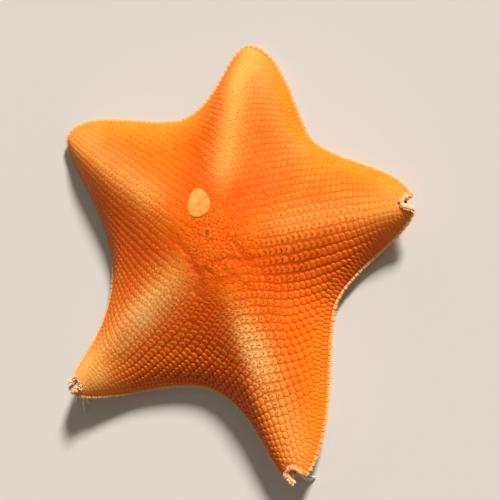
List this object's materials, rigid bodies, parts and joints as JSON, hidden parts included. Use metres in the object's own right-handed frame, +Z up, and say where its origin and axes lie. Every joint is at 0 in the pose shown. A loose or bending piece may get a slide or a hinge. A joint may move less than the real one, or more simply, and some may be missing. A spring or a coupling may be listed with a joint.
{
  "type": "bat star",
  "caption": "Life-size webbed sea star lying flat, with short blunt arms, curled tips, a fringe of margin spines and grooves with tube feet underneath.",
  "frame": {"origin": "centre of the outline's box, on the plane that the underside rests on", "axes": "+Z up from the underside, +Y along arm 1, +X towards arm 2"},
  "size_m": [0.1116, 0.1223, 0.0175],
  "materials": {
    "skin": "wet satin skin over small limy plates",
    "eyespot": "wet gloss",
    "jaws": "wet satin",
    "madreporite": "fine-grooved satin"
  },
  "bodies": {
    "root": {"disc": "skin", "arm_1": "skin", "arm_2": "skin", "arm_3": "skin", "arm_4": "skin", "arm_5": "skin", "arm_tip_1": "skin", "arm_tip_2": "skin", "arm_tip_3": "skin", "arm_tip_4": "skin", "arm_tip_5": "skin", "eyespot_1": "eyespot", "eyespot_2": "eyespot", "eyespot_3": "eyespot", "eyespot_4": "eyespot", "eyespot_5": "eyespot", "jaw_1": "jaws", "jaw_2": "jaws", "jaw_3": "jaws", "jaw_4": "jaws", "jaw_5": "jaws", "madreporite": "madreporite"}
  },
  "joints": []
}
